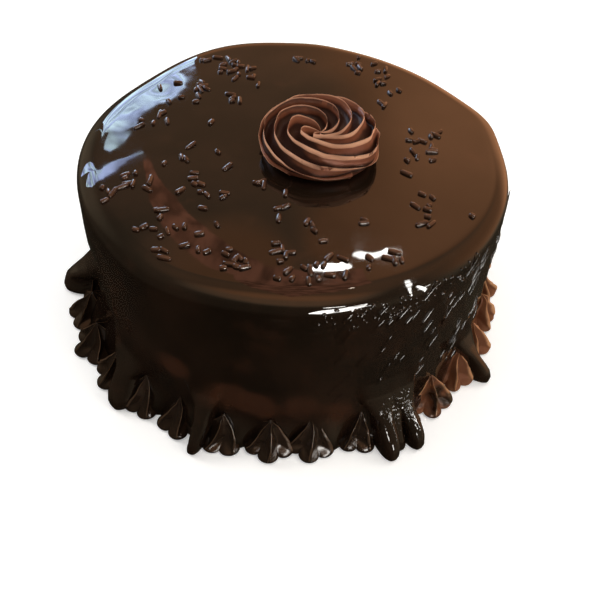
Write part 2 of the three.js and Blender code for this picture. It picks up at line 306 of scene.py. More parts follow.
class Wire:
    """A socket in a node tree. Sums written with it add Math nodes, and node() adds any other."""

    def __init__(self, tree, socket=None):
        self.tree = tree
        self.socket = socket

    def node(self, kind, settings=None, sockets=None, out=0):
        """Adds a node: its settings first, then a value or a link for each socket that is named."""
        made = self.tree.nodes.new(kind)
        for name, value in (settings or {}).items():
            if name == "curve":
                set_curve(made.mapping, value)
            else:
                setattr(made, name, value)
        for name, value in (sockets or {}).items():
            if isinstance(value, Wire):
                self.tree.links.new(value.socket, made.inputs[name])
            else:
                made.inputs[name].default_value = value
        return Wire(self.tree, made.outputs[out]) if made.outputs else None

    def other(self, out):
        """Another output of the same node."""
        return Wire(self.tree, self.socket.node.outputs[out])

    def math(self, operation, *terms):
        """A Math node on these values or links."""
        return self.node("ShaderNodeMath", {"operation": operation}, dict(enumerate(terms)))

    def vector(self, operation, *terms, out=0):
        """A Vector Math node on these values or links."""
        return self.node("ShaderNodeVectorMath", {"operation": operation}, dict(enumerate(terms)), out)

    def parts(self):
        """The x, y and z of this vector."""
        x = self.node("ShaderNodeSeparateXYZ", {}, {"Vector": self})
        return x, x.other("Y"), x.other("Z")

    def joined(self, **parts):
        """A vector from its X, Y and Z."""
        return self.node("ShaderNodeCombineXYZ", {}, parts)

    __add__, __radd__ = both_ways("ADD")
    __sub__, __rsub__ = both_ways("SUBTRACT")
    __mul__, __rmul__ = both_ways("MULTIPLY")
    __truediv__, __rtruediv__ = both_ways("DIVIDE")
    __pow__, __rpow__ = both_ways("POWER")

    def __neg__(self):
        return self.math("MULTIPLY", self, -1.0)

    def __abs__(self):
        return self.math("ABSOLUTE", self)

    def step(self, low, high, start=0.0, end=1.0):
        """A soft step of this value, from start below low to end above high."""
        limits = {"Value": self, "From Min": low, "From Max": high, "To Min": start, "To Max": end}
        return self.node("ShaderNodeMapRange", {"interpolation_type": "SMOOTHSTEP"}, limits)

    def noise(self, scale, detail=2.0, out="Fac"):
        """Noise over this place."""
        return self.node("ShaderNodeTexNoise", {}, {"Vector": self, "Scale": scale, "Detail": detail}, out)

    def blend(self, dark, light):
        """A colour between two, by this share."""
        return self.node("ShaderNodeMix", {"data_type": "RGBA"}, {0: self, 6: dark, 7: light}, out=2)

    def bump(self, distance, strength=1.0):
        """A bent normal from this height."""
        levels = {"Height": self, "Distance": distance, "Strength": strength}
        return self.node("ShaderNodeBump", {}, levels)


def set_curve(mapping, points):
    """Gives a curve node its points."""
    curve = mapping.curves[0]
    while len(curve.points) < len(points):
        curve.points.new(1.0, 1.0)
    for point, (x, y) in zip(curve.points, points):
        point.location = (x, y)
        point.handle_type = "AUTO_CLAMPED"
    mapping.update()


def finish_tree(name):
    """A new material's empty node tree, and the object coordinates in it."""
    finish = bpy.data.materials.new(name)
    finish.use_nodes = True
    finish.node_tree.nodes.clear()
    ink = Wire(finish.node_tree)
    return finish, ink, ink.node("ShaderNodeTexCoord", out="Object")


def mark(ink, name):
    """In a material, the value that the mesh holds under a name."""
    return ink.node("ShaderNodeAttribute", {"attribute_name": name}, out="Fac")


def close_finish(ink, **sockets):
    """Ends a material with its shader. Underscores in the names stand for spaces."""
    named = {name.replace("_", " "): value for name, value in sockets.items()}
    shader = ink.node("ShaderNodeBsdfPrincipled", {}, named)
    ink.node("ShaderNodeOutputMaterial", {}, {"Surface": shader})


DARK_GLAZE = (0.0085, 0.0048, 0.0028, 1)
WARM_GLAZE = (0.017, 0.0084, 0.0048, 1)
PALE_LOW_GLAZE = (0.038, 0.015, 0.0078, 1)  # paler and warmer, for patches that lie most of all low on the side
# Where the side is paler: angle, height, and how far the place spreads.
PALE_LOW_PLACES = [
    (-104, 31 * MM, 12 * MM),
    (-97, 27 * MM, 9 * MM),
    (-85, 29 * MM, 10 * MM),
    (-76, 22 * MM, 10 * MM),
    (-118, 42 * MM, 8 * MM),
    (24, 26 * MM, 11 * MM),
    (76, 30 * MM, 12 * MM),
    (128, 24 * MM, 10 * MM),
    (166, 33 * MM, 11 * MM),
]


def ganache_finish():
    """Set glaze: near black, warmer in clouds and paler in patches, most of all low on the side, with tiny
    beads.
    """
    finish, ink, spot = finish_tree("ganache")
    bubbly = mark(ink, "froth")
    cloud = spot.noise(26.0, 3.0).step(0.35, 0.7)
    pale_low = (spot.noise(60.0, 3.0) - 0.5) * 1.8
    for angle, height, spread in PALE_LOW_PLACES:
        turn = math.radians(angle)
        place = (AXIS[0] + RADIUS * math.cos(turn), AXIS[1] + RADIUS * math.sin(turn), height)
        away = spot.vector("DISTANCE", spot, place, out="Value")
        pale_low = pale_low + away.step(0.2 * spread, 1.5 * spread, 1.0, 0.0)
    pale_low = pale_low.step(0.1, 0.95)
    body = pale_low.blend(cloud.blend(DARK_GLAZE, WARM_GLAZE), PALE_LOW_GLAZE)
    smear = spot.noise(75.0, 3.0)
    ripple = spot.noise(140.0, 0.5) * 0.08
    bubble = spot.node("ShaderNodeTexVoronoi", {"feature": "SMOOTH_F1"}, {"Vector": spot, "Scale": 620.0})
    beads = (bubble.step(0.0, 0.62, 1.0, 0.0) + spot.noise(1400.0, 2.0) * 0.4) * bubbly * 2.6
    skin = (ripple + beads).bump(0.12 * MM)
    close_finish(ink, Base_Color=body, Roughness=smear.step(0.35, 0.75, 0.02, 0.05), Normal=skin)
    return finish


ganache = ganache_finish()
cake_piece = piece("glazed_cake", glazed_cake(), "ganache", "cake")
cake_piece.data.materials.append(ganache)

# ================================================================ the streaks on the side
# Where the glaze slid sideways at the front right it dried in slanted streaks and long beads, half
# sunk in the side, and in small round beads under the rim.

STREAKS = 84
BEADS = 70


def on_the_side(angle, z):
    """The place on the glazed side at an angle and height."""
    drop = TOP - z
    inward = EDGE * (1 - np.sqrt(np.clip(drop / EDGE, 0, 1))) ** 2 if drop < EDGE else 0
    reach = RADIUS + FLARE * (1 - z / TOP) ** 2 - inward + outline_at(angle, z) + drips(angle, z)
    reach = reach + wrinkles(angle, z) * smooth(reach, RADIUS - EDGE, RADIUS)
    turn = math.radians(angle)
    return Vector((AXIS[0] + reach * math.cos(turn), AXIS[1] + reach * math.sin(turn), z))


def streak_points():
    """A mesh of bare points, one for each streak or bead, with its size and how it is turned."""
    draw = draws(40127)
    places, sizes, turns = [], [], []
    for i in range(STREAKS + BEADS):
        long = i < STREAKS
        angle = between(draw, -78, -2) if long else between(draw, -84, -38)
        z = TOP * (between(draw, 0.2, 0.9) if long else between(draw, 0.84, 0.95))
        length = between(draw, 4, 15) * MM if long else between(draw, 0.9, 2.4) * MM
        wide = between(draw, 0.8, 1.6) * MM if long else between(draw, 0.8, 1.5) * MM
        slant = math.radians(between(draw, 26, 44)) if long else math.radians(between(draw, 0, 360))
        here = on_the_side(angle, z)
        out = Vector((math.cos(math.radians(angle)), math.sin(math.radians(angle)), 0))
        along = Vector((0, 0, 1)) * math.cos(slant) + Vector((-out.y, out.x, 0)) * math.sin(slant)
        places.append(here)
        sizes.append((length / 2, wide / 2, between(draw, 0.4, 0.55) * wide))
        turns.append(tuple(Matrix((along, out.cross(along), out)).transposed().to_euler()))
    mesh = bpy.data.meshes.new("streak_points")
    mesh.from_pydata(places, [], [])
    for name, rows in {"half_sizes": sizes, "turn": turns}.items():
        kept_rows = mesh.attributes.new(name, "FLOAT_VECTOR", "POINT")
        kept_rows.data.foreach_set("vector", np.array(rows).ravel().tolist())
    return mesh


def new_tree(title, **kinds):
    """A tree with named inputs: the tree, a wire from each input, and the inputs' identifiers."""
    tree = bpy.data.node_groups.new(title, "GeometryNodeTree")
    tree.interface.new_socket(name="Geometry", in_out="OUTPUT", socket_type="NodeSocketGeometry")
    identifiers = {}
    for name, kind in kinds.items():
        made = tree.interface.new_socket(name=name, in_out="INPUT", socket_type="NodeSocket" + kind)
        identifiers[name] = made.identifier
    entry = tree.nodes.new("NodeGroupInput")
    return tree, {name: Wire(tree, entry.outputs[name]) for name in kinds}, identifiers


def stored(wire, name, kind="FLOAT"):
    """In a Geometry Nodes tree, what the points hold under a name."""
    return wire.node("GeometryNodeInputNamedAttribute", {"data_type": kind}, {"Name": name})


def ball_shape(wire, segments, rings):
    """A ball to be shaped, and a wire for the place of its points."""
    sizes = {"Segments": segments, "Rings": rings, "Radius": 1.0}
    ball = wire.node("GeometryNodeMeshUVSphere", {}, sizes)
    return ball, ball.node("GeometryNodeInputPosition")


def moved_to(shape, place):
    """The shape with its points at this place."""
    return shape.node("GeometryNodeSetPosition", {}, {"Geometry": shape, "Position": place})


def laid_on(points, shape, turn, scale):
    """A copy of the shape on every point, turned by these angles and scaled."""
    turn = turn.node("FunctionNodeEulerToRotation", {}, {"Euler": turn})
    copies = {"Points": points, "Instance": shape, "Rotation": turn, "Scale": scale}
    return points.node("GeometryNodeInstanceOnPoints", {}, copies)


def close_tree(shape, finish):
    """Ends a tree: instances made real, then the material."""
    real = shape.node("GeometryNodeRealizeInstances", {}, {"Geometry": shape})
    done = real.node("GeometryNodeSetMaterial", {}, {"Geometry": real, "Material": finish})
    done.node("NodeGroupOutput", {}, {"Geometry": done})


def grown(tree, identifiers, sizes, start=None):
    """Objects with the tree on them, one for each set of sizes. They are made plain all at once."""
    waiting = []
    for size in sizes:
        seed = bpy.data.objects.new("growing", start or bpy.data.meshes.new("growing"))
        bpy.context.collection.objects.link(seed)
        rule = seed.modifiers.new("rule", "NODES")
        rule.node_group = tree
        for name, value in size.items():
            rule[identifiers[name]] = value
        waiting.append(seed)
    depsgraph = bpy.context.evaluated_depsgraph_get()
    meshes = [bpy.data.meshes.new_from_object(seed.evaluated_get(depsgraph)) for seed in waiting]
    for seed in waiting:
        seed.modifiers.clear()
        bpy.data.objects.remove(seed)
    for mesh in meshes:
        mesh.shade_smooth()
    return meshes


def streak_tree(finish):
    """Geometry Nodes that press a long bead into the side at every point."""
    tree, size, identifiers = new_tree(
        "streaks of glaze", Geometry="Geometry", Fullness="Float", Taper="Float"
    )
    ball, place = ball_shape(size["Geometry"], 10, 8)
    x, y, z = place.parts()
    narrow = 1 + size["Taper"] * z
    bead = moved_to(ball, place.joined(X=z, Y=x * narrow, Z=y * narrow * size["Fullness"]))
    half = stored(place, "half_sizes", "FLOAT_VECTOR")
    turn = stored(place, "turn", "FLOAT_VECTOR")
    close_tree(laid_on(size["Geometry"], bead, turn, half), finish)
    return tree, identifiers


streak_size = {"Fullness": 1.0, "Taper": -0.3}
streak_mesh = grown(*streak_tree(ganache), [streak_size], streak_points())[0]
piece("streaks_of_glaze", streak_mesh, "ganache", "cake")

# ================================================================ the border of piped stars
# Thirty-one stars of chocolate buttercream, squeezed from a six-bladed nozzle in a ring round the
# foot of the cake. Each has blades that bulge at the foot and twist up into a small peak. The glaze
# ran over the ones at the front and the left, and missed those at the right.

STARS = 31
STAR_RADIUS = 12.4 * MM
STAR_HEIGHT = 21.5 * MM
STAR_CIRCLE = 110.5 * MM
BLADES = 6
GROOVE = 0.46  # how deep the hollows between the blades are, as a share of the radius
PRESSED = 1.5 * MM  # how far a star is pressed into the foot of the side
STAR_AROUND, STAR_RINGS = 22 * BLADES, 44  # points in each mesh
FIRST_STAR = -82.4
# Where the border stands further out, with larger stars: angle, how far, and over how much.
BORDER_OUT = [(-157, 4.4 * MM, 21), (4, 2.2 * MM, 9)]
# The turned shape: share of the way from the foot's middle to the peak, radius and height there.
STAR_PROFILE = [
    (0, 0, 0), (0.1, 0.62, 0), (0.17, 0.9, 0.015), (0.24, 0.99, 0.08), (0.34, 0.98, 0.2),
    (0.48, 0.84, 0.39), (0.64, 0.6, 0.6), (0.8, 0.33, 0.79), (0.92, 0.12, 0.93), (1, 0, 1),
]


def kept(shape, name, value, domain="POINT"):
    """Stores a value on every point of a shape, for the material to read."""
    row = {"Geometry": shape, "Name": name, "Value": value}
    return shape.node("GeometryNodeStoreNamedAttribute", {"data_type": "FLOAT", "domain": domain}, row)


def turned_ball(wire, segments, rings, profile):
    """A ball with, for each point, its way up from 0 to 1, its angle, and the profile's sizes there."""
    ball, place = ball_shape(wire, segments, rings)
    x, y, z = place.parts()
    upward = x.math("ARCCOSINE", x.math("MAXIMUM", x.math("MINIMUM", -z, 1.0), -1.0)) / math.pi
    around = x.math("ARCTAN2", y, x)
    ways, radii, heights = zip(*profile)
    reach = x.node("ShaderNodeFloatCurve", {"curve": list(zip(ways, radii))}, {"Value": upward})
    rise = x.node("ShaderNodeFloatCurve", {"curve": list(zip(ways, heights))}, {"Value": upward})
    return ball, upward, around, reach, rise


def star_tree(finish):
    """Geometry Nodes for one piped star, from a ball whose rings follow the turned shape."""
    tree, size, identifiers = new_tree(
        "piped star", Radius="Float", Height="Float", Blades="Float", Groove="Float", Twist="Float",
        Turn="Float", Lean="Float", Circle="Float", Angle="Float", Wall="Float", Glazed="Float",
        Seed="Float", Middle="Vector",
    )
    ball, upward, around, reach, rise = turned_ball(Wire(tree), STAR_AROUND, STAR_RINGS, STAR_PROFILE)
    bare = 1.0 - size["Glazed"]
    hollow = abs(around.math("SINE", around * size["Blades"] / 2))
    lobed = 1 - abs(around.math("COSINE", around * size["Blades"] / 2)) ** 0.7
    bladed = hollow ** 0.45
    upper = upward.step(0.22, 0.4)
    flute = lobed * (1 - upper) + bladed * upper
    depth = size["Groove"] * upward.step(0.2, 0.45, 0.62, 1.25) * (1.15 - 0.3 * size["Glazed"])
    lip = hollow.step(0.0, 0.3, 1.0, 0.0) * upward.step(0.16, 0.3) * bare
    across = size["Radius"] * (1 + 0.1 * size["Glazed"]) * reach * (1 - depth * flute + 0.045 * lip)
    turned = around + size["Turn"] + size["Twist"] * rise
    local_x = across * turned.math("COSINE", turned) - size["Lean"] * rise
    local_y = across * turned.math("SINE", turned)
    local_z = size["Height"] * (1 - 0.12 * size["Glazed"]) * rise
    local = turned.joined(X=local_x, Y=local_y, Z=local_z)
    uneven = {"Vector": local, "W": size["Seed"], "Scale": 95.0, "Detail": 1.0}
    wobble = local.node("ShaderNodeTexNoise", {"noise_dimensions": "4D"}, uneven, out="Color").parts()
    free = upward.step(0.12, 0.4) * (3.4 + 1.4 * bare) * MM
    shift_x, shift_y, shift_z = [(part - 0.5) * free for part in wobble]
    moved_x = size["Circle"] + local_x + shift_x
    moved_y = local_y + shift_y
    moved_z = local_z + shift_z
    from_axis = local.math("SQRT", moved_x * moved_x + moved_y * moved_y)
    push = local.math("MAXIMUM", size["Wall"] / from_axis, 1.0)
    cos, sin = local.math("COSINE", size["Angle"]), local.math("SINE", size["Angle"])
    row = local.joined(
        X=(moved_x * cos - moved_y * sin) * push,
        Y=(moved_x * sin + moved_y * cos) * push,
        Z=local.math("MAXIMUM", moved_z, 0.0),
    )
    patchy = (wobble[0] - 0.5) * 1.6 * local.math("SQRT", size["Glazed"] * bare)
    # Masks for the painting: a painted highlight on the blade edges and painted shade in the folds.
    shape = kept(ball, "crest", hollow.step(0.02, 0.2, 1.0, 0.0) * upward.step(0.2, 0.34))
    shape = kept(shape, "fold", flute * upper)
    shape = kept(shape, "glazed", size["Glazed"] + patchy)
    close_tree(moved_to(shape, row.vector("ADD", row, size["Middle"])), finish)
    return tree, identifiers


# The crest colours are a painted highlight on the ridge edges, bare and glazed.
BARE_STAR = (0.13, 0.044, 0.0165, 1)
HIGHLIT_BARE_CREST = (0.62, 0.32, 0.15, 1)
GLAZED_STAR = (0.018, 0.0095, 0.0052, 1)
HIGHLIT_GLAZED_CREST = (0.09, 0.05, 0.028, 1)


def border_finish():
    """Buttercream, satin where bare and wet-looking where glazed, with painted highlights on ridges and
    painted shade in folds.
    """
    finish, ink, spot = finish_tree("border")
    crest, fold, glazed = [mark(ink, name) for name in ("crest", "fold", "glazed")]
    patchy = (glazed + (spot.noise(160.0, 2.0) - 0.5) * 0.7).step(0.35, 0.65)
    # Painted highlight: the ridge edges are painted paler.
    edge = (crest + (spot.noise(240.0, 2.0) - 0.5) * 0.5).step(0.3, 1.0)
    mottle = spot.noise(260.0, 3.0)
    # Painted shade: the folds are painted darker.
    bare = (edge * 0.8 + mottle * 0.35 - fold * 0.4).step(0.0, 1.0).blend(BARE_STAR, HIGHLIT_BARE_CREST)
    colour = patchy.blend(bare, edge.blend(GLAZED_STAR, HIGHLIT_GLAZED_CREST))
    grain = spot.noise(1300.0, 2.0) * 0.5 + spot.noise(420.0, 2.0) * 0.5
    skin = (grain * (1 - 0.8 * patchy)).bump(0.35 * MM, 0.55)
    rough = patchy.step(0.0, 1.0, 0.62, 0.24)
    close_finish(ink, Base_Color=colour, Roughness=rough, Normal=skin, Specular_IOR_Level=0.3)
    return finish


def star_sizes():
    """Where each star stands and how it differs from the next, drawn as the solids were."""
    draw = draws(3121)
    sizes = []
    for i in range(STARS):
        angle = FIRST_STAR + 360 / STARS * i + 1.2 * (next(draw) - 0.5)
        further = float(bumps_at(BORDER_OUT, angle))
        circle = STAR_CIRCLE + further + float(outline_at(angle, 0)) + (next(draw) - 0.5) * MM
        radius = STAR_RADIUS * (0.97 + 0.07 * next(draw)) + 0.36 * further
        height = STAR_HEIGHT * (0.94 + 0.12 * next(draw))
        turn = 360 / BLADES * next(draw)
        twist = 10 + 22 * next(draw)
        lean = 1.6 * MM * (next(draw) - 0.3)
        sizes.append({
            "Radius": radius, "Height": height, "Blades": float(BLADES), "Groove": GROOVE,
            "Twist": math.radians(twist), "Turn": math.radians(turn), "Lean": lean,
            "Circle": circle, "Angle": math.radians(angle),
            "Wall": RADIUS + FLARE + float(outline_at(angle, 0)) - PRESSED,
            "Glazed": float(glazed_share(angle)), "Seed": 7.3 * i, "Middle": (*AXIS, 0),
        })
    return sizes


border = border_finish()
for i, mesh in enumerate(grown(*star_tree(border), star_sizes())):
    piece(f"piped_star_{i + 1:02d}", mesh, "border", f"star_{i + 1:02d}")

# ================================================================ the rosette
# One rope of milk-chocolate buttercream from a large open star nozzle, wound outwards on the top
# from a hollow middle. The nozzle's points leave thin sharp ridges with deep flutes between them.

ROSETTE_X, ROSETTE_Y = 12 * MM, -4 * MM
ROSETTE_RADIUS = 30 * MM
ROSETTE_HEIGHT = 15.5 * MM
ARMS = 6
ARM_TURN = 340  # how far an arm turns on its way from the middle to the rim
FLUTE = 6.4 * MM  # how deep the hollows between the ridges are
TAIL = -38  # the angle where the rope was pulled off
TAIL_STEP = 0.09  # how much the rim steps in there, as a share of the radius
ROSETTE_AROUND, ROSETTE_RINGS = 48 * ARMS, 150  # points in the mesh
# The turned shape: share of the way from the foot's middle to the hollow, radius and height there.
ROSETTE_PROFILE = [
    (0, 0, 0), (0.1, 0.5, 0), (0.2, 0.86, 0.04), (0.27, 0.96, 0.2), (0.35, 1.0, 0.44),
    (0.43, 0.97, 0.67), (0.52, 0.87, 0.87), (0.62, 0.7, 0.99), (0.74, 0.5, 0.98), (0.85, 0.31, 0.8),
    (0.94, 0.12, 0.6), (1, 0, 0.5),
]


def rosette_tree(finish):
    """Geometry Nodes for the rosette: a ball whose meridians are wound along the ridges."""
    tree, size, identifiers = new_tree(
        "piped rosette", Radius="Float", Height="Float", Arms="Float", Wind="Float", Flute="Float",
        Tail="Float", Step="Float", Middle="Vector",
    )
    ball, upward, arm, reach, rise = turned_ball(
        Wire(tree), ROSETTE_AROUND, ROSETTE_RINGS, ROSETTE_PROFILE
    )
    inward = upward.step(0.3, 0.44)
    from_rim = arm.math("MAXIMUM", upward - 0.3, 0.0) / 0.7
    angle = arm - size["Wind"] * from_rim ** 0.78
    # Three whole turns are added to each share of a turn, so that it is above zero.
    since_tail = arm.math("FRACT", (angle - size["Tail"]) / (2 * math.pi) + 3.0)
    joined_up = since_tail.step(0.0, 0.09)
    since_tail = since_tail * joined_up + (1 - joined_up)
    across_arm = arm.math("FRACT", arm * size["Arms"] / (2 * math.pi) + 3.0)
    leaning = across_arm ** 0.65
    hollow = abs(arm.math("SINE", leaning * math.pi))
    flute = hollow ** 0.36
    low_side = upward.step(0.16, 0.34)
    deep = size["Flute"] * flute * low_side * upward.step(0.9, 1.0, 1.0, 0.25)
    spread = size["Radius"] * reach * (1 + size["Step"] * (since_tail - 0.8))
    outward = spread + (0.3 - flute) * 0.12 * size["Radius"] * low_side * (1 - inward)
    raised = size["Height"] * rise - deep * inward + 0.3 * size["Flute"] * inward
    cos, sin = arm.math("COSINE", angle), arm.math("SINE", angle)
    wound = arm.joined(X=outward * cos, Y=outward * sin, Z=raised)
    free = low_side * 2.6 * MM
    wobble = wound.noise(70.0, 1.0, out="Color").parts()
    shift_x, shift_y, shift_z = [(part - 0.5) * free for part in wobble]
    there = wound.vector("ADD", wound, wound.joined(X=shift_x, Y=shift_y, Z=shift_z))
    # Masks for the painting: a painted highlight on the ridges, painted shade in the flutes and on the
    # rising faces, and painted light on the outer ring.
    shape = kept(ball, "crest", hollow.step(0.02, 0.17, 1.0, 0.0) * low_side)
    shape = kept(shape, "fold", hollow.step(0.08, 0.6) * low_side)
    shape = kept(shape, "rising", across_arm.step(0.3, 0.6) * inward)
    shape = kept(shape, "outer", upward.step(0.26, 0.42, 1.0, 0.0))
    close_tree(moved_to(shape, there.vector("ADD", there, size["Middle"])), finish)
    return tree, identifiers


# The cream's middle tone, a painted shade for the flutes and a painted highlight for the ridge edges.
SHADED_FOLD_CREAM = (0.02, 0.0072, 0.005, 1)
MID_CREAM = (0.19, 0.062, 0.03, 1)
HIGHLIT_CREST_CREAM = (0.7, 0.36, 0.22, 1)


def buttercream_finish():
    """Milk-chocolate buttercream: satin, slightly crumbly and rougher on its ridges, with painted light and
    shade.
    """
    finish, ink, spot = finish_tree("buttercream")
    crest, fold, rising, outer = [mark(ink, name) for name in ("crest", "fold", "rising", "outer")]
    mottle = spot.noise(300.0, 3.0)
    x, y, _ = spot.parts()
    rightward = (x - (AXIS[0] + ROSETTE_X)) / ROSETTE_RADIUS
    forward = ((AXIS[1] + ROSETTE_Y) - y) / ROSETTE_RADIUS
    # Painted light: the faces towards the front right are painted paler, as if lit from that side.
    lit_front_right = (rightward * 0.8 + forward * 0.6 + (spot.noise(120.0, 2.0) - 0.5) * 0.8).step(0.0, 0.75)
    # Painted shade in the flutes and on each arm's rising face, and painted light on the outer ring at the
    # left.
    dark = fold + rising * (0.85 - 0.95 * lit_front_right) - outer * rightward.step(-1.0, 0.2, 1.0, 0.0)
    body = (dark + (mottle - 0.5) * 0.5).step(0.05, 0.95).blend(MID_CREAM, SHADED_FOLD_CREAM)
    # Painted highlight: the ridge edges are painted pale, as if catching the light.
    edge = (crest + (mottle - 0.5) * 0.14).step(0.74, 0.98)
    colour = edge.blend(body, HIGHLIT_CREST_CREAM)
    rough = edge.step(0.0, 1.0, 0.5, 0.68)
    grain = spot.noise(1500.0, 2.0) * 0.5 + spot.noise(500.0, 2.0) * 0.5
    skin = grain.bump(0.3 * MM, 0.5)
    close_finish(ink, Base_Color=colour, Roughness=rough, Normal=skin, Specular_IOR_Level=0.35)
    return finish


buttercream = buttercream_finish()
rosette_size = {
    "Radius": ROSETTE_RADIUS, "Height": ROSETTE_HEIGHT, "Arms": float(ARMS), "Wind": math.radians(ARM_TURN),
    "Flute": FLUTE, "Tail": math.radians(TAIL), "Step": TAIL_STEP,
    "Middle": (AXIS[0] + ROSETTE_X, AXIS[1] + ROSETTE_Y, TOP + GAP),
}
rosette_mesh = grown(*rosette_tree(buttercream), [rosette_size])[0]
piece("piped_rosette", rosette_mesh, "buttercream", "rosette")

# ================================================================ chocolate sprinkles
# Small rods of dark chocolate with rounded ends, scattered over the wet glaze by hand in loose
# clumps. Each sank a little way into the glaze before it set.

ROD_RADIUS = 1.15 * MM
SHORTEST, LONGEST = 2.6 * MM, 6.6 * MM
LIFT = 0.4 * MM  # how far a rod's middle lies above the glaze
APART = 2 * MM  # how near to each other two rods may lie
RIM = 8.5 * MM  # none lies nearer than this to the edge
# Clumps in millimetres: middle, size along and across, turn of the clump, number of sprinkles.
CLUMPS = [
    (-34, 68, 46, 15, -38, 22),
    (-53, 47, 20, 6, 65, 5),
    (-34, 38, 9, 8, 0, 5),
    (0, 78, 18, 10, 40, 4),
    (41, 64, 56, 30, 108, 20),
    (65, -4, 58, 27, 80, 17),
    (61, -45, 32, 10, 75, 8),
    (14, -88, 22, 13, 40, 13),
    (37, -81, 24, 10, 25, 6),
    (10, -63, 19, 10, 110, 6),
    (31, -56, 9, 6, 50, 3),
    (-24, -86, 17, 11, 115, 12),
    (-6, -84, 24, 11, 85, 10),
    (-52, -70, 44, 24, -40, 15),
    (-78, -36, 30, 17, 35, 15),
    (-72, 20, 50, 14, 70, 8),
    (-46, -34, 56, 26, 95, 9),
    (-3, -44, 22, 5, 75, 6),
    (-14, -33, 9, 5, 20, 2),
    (82, -48, 3, 3, 0, 1),
]
# Sprinkles that lie alone, in millimetres.
ALONE = [
    (-53, 53), (-49, 46), (-53, 38), (-54, 33), (-66, 51), (-74, 47), (-65, 15), (-43, 15), (-51, -7),
    (-54, -15), (-38, -10), (-62, -21), (-47, -28), (-32, -22), (-32, -43), (-41, -52), (-17, -32),
    (-11, -28), (-47, -64), (-33, -62),
]


def scattered_rods():
    """Where every sprinkle lies, drawn as the solids were: place, length, heading and rise."""
    draw = draws(20417)
    rods = []
    clear = ROSETTE_RADIUS + 0.5 * LONGEST + 1 * MM
    singles = [(x, y, 2, 2, 0, 1) for x, y in ALONE]
    for middle_x, middle_y, long, wide, turn, count in CLUMPS + singles:
        cos, sin = math.cos(math.radians(turn)), math.sin(math.radians(turn))
        for _ in range(count):
            along = (next(draw) + next(draw) - 1) * 0.62 * long * MM
            across = (next(draw) + next(draw) - 1) * 0.62 * wide * MM
            length = between(draw, SHORTEST, LONGEST)
            heading, rise = 360 * next(draw), 9 * next(draw)
            x = middle_x * MM + along * cos - across * sin
            y = middle_y * MM + along * sin + across * cos
            crowded = any(math.hypot(rod[0] - x, rod[1] - y) < APART for rod in rods)
            on_rosette = math.hypot(x - ROSETTE_X, y - ROSETTE_Y) < clear
            if not crowded and not on_rosette and math.hypot(x, y) <= RADIUS - RIM:
                rods.append((x, y, length, heading, rise))
    return rods


def edge_drop(radius):
    """How far the glaze has fallen below the top, this far out on its way into the side."""
    share = 1 - np.sqrt(np.clip((RADIUS - radius) / EDGE, 0, 1))
    return EDGE * share**2


def glaze_height(x, y):
    """The height of the glaze at a place measured from the middle line, edge and all."""
    out = math.hypot(x, y)
    stretch = smooth(out, 0.5 * RADIUS, RADIUS) * outline_at(math.degrees(math.atan2(y, x)), TOP)
    drop = edge_drop(out - stretch)
    return float(TOP - drop + (top_height(x, y) - TOP) * smooth(TOP - drop, TOP - EDGE, TOP))


def rod_points(rods):
    """A mesh of bare points, one for each sprinkle, with what the tree needs to know of it."""
    mesh = bpy.data.meshes.new("rod_points")
    places = [(x + AXIS[0], y + AXIS[1], glaze_height(x, y) + LIFT) for x, y, *_ in rods]
    mesh.from_pydata(places, [], [])
    for name, values in {
        "length": [rod[2] for rod in rods],
        "heading": [math.radians(rod[3]) for rod in rods],
        "rise": [math.radians(-rod[4]) for rod in rods],
    }.items():
        mesh.attributes.new(name, "FLOAT", "POINT").data.foreach_set("value", values)
    return mesh


def sprinkle_tree(finish):
    """Geometry Nodes that lay a rod with rounded ends on every point."""
    tree, size, identifiers = new_tree(
        "scattered sprinkles", Geometry="Geometry", Thick="Float", Seed="Int", Shade="Int"
    )
    ball, place = ball_shape(size["Geometry"], 10, 9)
    x, y, z = place.parts()
    side = x.math("SQRT", x.math("MAXIMUM", 1 - z * z, 0.0)) + 0.001
    fuller = side ** -0.55
    blunt = x.math("SIGN", z) * abs(z) ** 0.55
    rod = moved_to(ball, place.joined(X=blunt, Y=x * fuller, Z=y * fuller))
    varied = {2: 0.9, 3: 1.1, "Seed": size["Seed"]}
    thick = size["Thick"] * x.node("FunctionNodeRandomValue", {"data_type": "FLOAT"}, varied, out=1)
    scale = place.joined(X=stored(place, "length") / 2, Y=thick, Z=thick)
    turn = place.joined(Y=stored(place, "rise"), Z=stored(place, "heading"))
    shade = {2: 0.0, 3: 1.0, "Seed": size["Shade"]}
    tint = x.node("FunctionNodeRandomValue", {"data_type": "FLOAT"}, shade, out=1)
    laid = laid_on(size["Geometry"], rod, turn, scale)
    close_tree(kept(laid, "tint", tint, "INSTANCE"), finish)
    return tree, identifiers


DARK_ROD = (0.03, 0.013, 0.0075, 1)
PALE_ROD = (0.075, 0.033, 0.019, 1)


def sprinkle_finish():
    """Dark chocolate with a little shine, each rod a slightly different brown."""
    finish, ink, spot = finish_tree("sprinkles")
    colour = (mark(ink, "tint") * 0.7 + spot.noise(700.0, 2.0) * 0.3).blend(DARK_ROD, PALE_ROD)
    rough = spot.noise(500.0, 2.0).step(0.3, 0.7, 0.1, 0.2)
    skin = spot.noise(1800.0, 2.0).bump(0.08 * MM, 0.4)
    close_finish(ink, Base_Color=colour, Roughness=rough, Normal=skin)
    return finish


rod_size = {"Thick": ROD_RADIUS, "Seed": 4, "Shade": 11}
rods_mesh = grown(*sprinkle_tree(sprinkle_finish()), [rod_size], rod_points(scattered_rods()))[0]
piece("sprinkles", rods_mesh, "ganache", "cake")

# ================================================================ the studio
# A plain pale floor under soft light, and a camera at the photograph's angle. Sheets that only shiny
# surfaces see stand where the top mirrors them, in a dim warm room: a cool window at the left, lamps
# at the front right, and a doorway.

